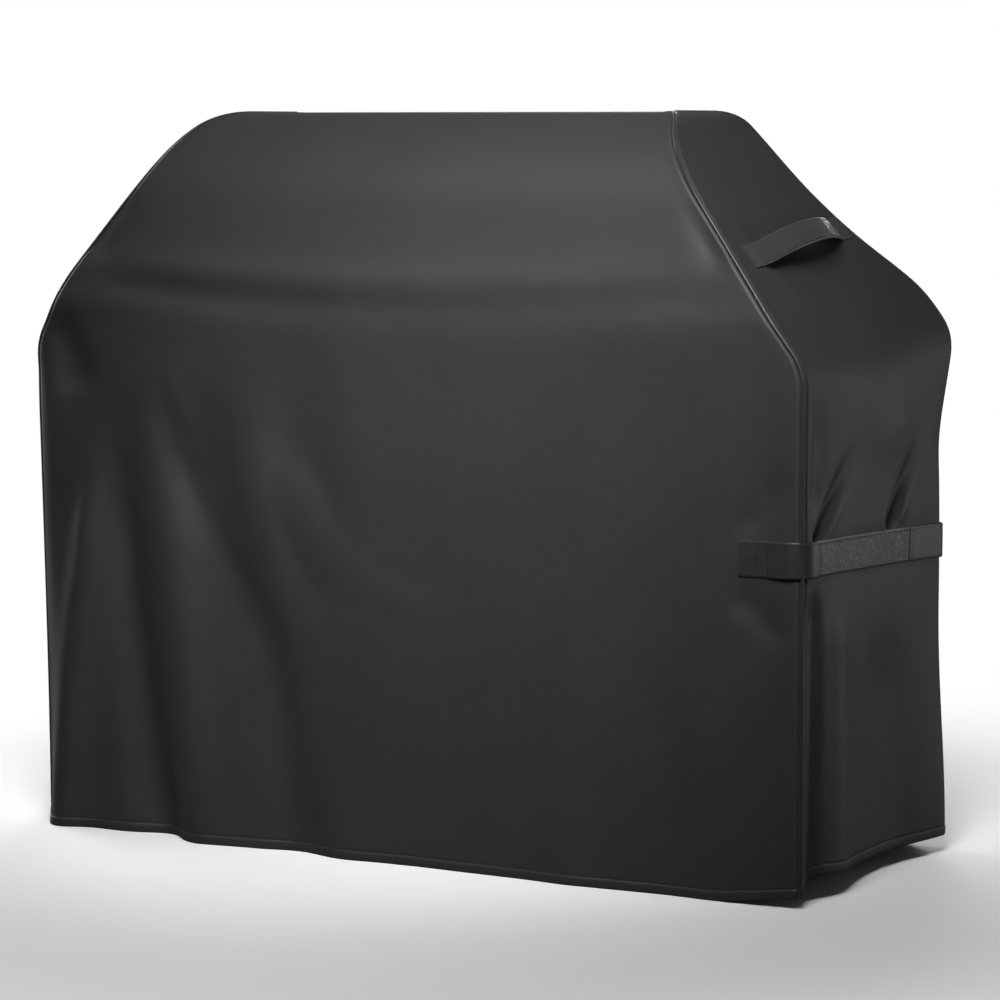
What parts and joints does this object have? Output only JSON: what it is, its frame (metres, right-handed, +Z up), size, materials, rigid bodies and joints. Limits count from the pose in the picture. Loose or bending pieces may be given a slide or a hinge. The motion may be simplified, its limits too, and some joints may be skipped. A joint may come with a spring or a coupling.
{
  "type": "grill cover",
  "caption": "Fitted black fabric cover with sloping ends and a rounded hood, piped end seams, carry handles and hook-and-loop side straps.",
  "frame": {"origin": "middle of the hem's plane, under the centre of the cover", "axes": "+Z up, the front faces -Y, +X is the right end as seen from the front"},
  "size_m": [1.4802, 0.6172, 1.2198],
  "materials": {
    "cloth": "coated woven polyester, satin",
    "piping": "cloth-covered welt cord",
    "webbing": "folded and stitched cloth webbing",
    "loop_pile": "fuzzy loop tape",
    "tape": "matte binding tape"
  },
  "bodies": {
    "root": {"body_panel": "cloth", "right_end_panel": "cloth", "right_piping": "piping", "right_seam_binding": "tape", "right_handle_front_end": "webbing", "right_handle_rear_end": "webbing", "right_handle_front_patch": "tape", "right_handle_rear_patch": "tape", "right_strap_front_anchor": "webbing", "right_strap_loop_strip": "loop_pile", "right_strap_rear_anchor": "webbing", "left_end_panel": "cloth", "left_piping": "piping", "left_seam_binding": "tape", "left_handle_front_end": "webbing", "left_handle_rear_end": "webbing", "left_handle_front_patch": "tape", "left_handle_rear_patch": "tape", "left_strap_front_anchor": "webbing", "left_strap_loop_strip": "loop_pile", "left_strap_rear_anchor": "webbing"},
    "right_handle": {"right_handle_loop": "webbing"},
    "right_strap_tab": {"right_strap_hook_tab": "webbing"},
    "left_handle": {"left_handle_loop": "webbing"},
    "left_strap_tab": {"left_strap_hook_tab": "webbing"}
  },
  "joints": [
    {"name": "right_handle_swing", "type": "hinge", "parent": "root", "child": "right_handle", "pos_m": [0.59467, -0.0325, 1.01], "axis": [0, 1, 0], "range_deg": [-30, 30]},
    {"name": "right_strap_peel", "type": "hinge", "parent": "root", "child": "right_strap_tab", "pos_m": [0.68, -0.3071, 0.53], "axis": [0, 0, -1], "range_deg": [0, 120]},
    {"name": "left_handle_swing", "type": "hinge", "parent": "root", "child": "left_handle", "pos_m": [-0.59467, -0.0325, 1.01], "axis": [0, 1, 0], "range_deg": [-30, 30]},
    {"name": "left_strap_peel", "type": "hinge", "parent": "root", "child": "left_strap_tab", "pos_m": [-0.7386, -0.195, 0.53], "axis": [0, 0, 1], "range_deg": [0, 120]}
  ]
}
